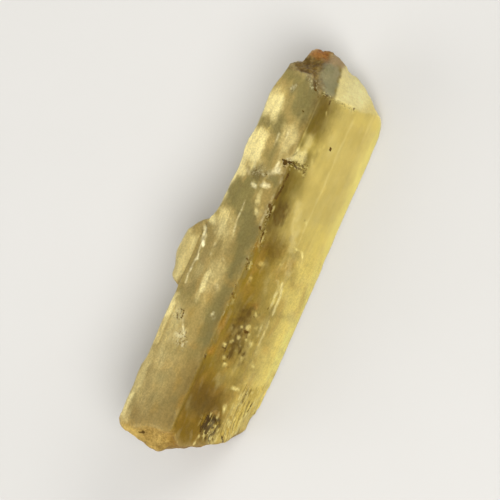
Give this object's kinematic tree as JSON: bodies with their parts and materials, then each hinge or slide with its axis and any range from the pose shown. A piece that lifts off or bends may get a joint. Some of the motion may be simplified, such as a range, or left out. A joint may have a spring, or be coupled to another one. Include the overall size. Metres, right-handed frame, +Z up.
{
  "type": "imperial topaz crystal",
  "caption": "Loose golden topaz prism with one pyramidal end, a broken base and a rounded side growth, lying on a prism face.",
  "frame": {"origin": "on the surface the crystal lies on, below the middle of its box", "axes": "+X along the long axis of the prism toward the pyramidal end, +Z up, square to the prism face it rests on"},
  "size_m": [0.0434, 0.0126, 0.0088],
  "materials": {
    "topaz": "clear golden crystal with a satin, striated skin"
  },
  "bodies": {
    "root": {"topaz_crystal": "topaz"}
  },
  "joints": []
}
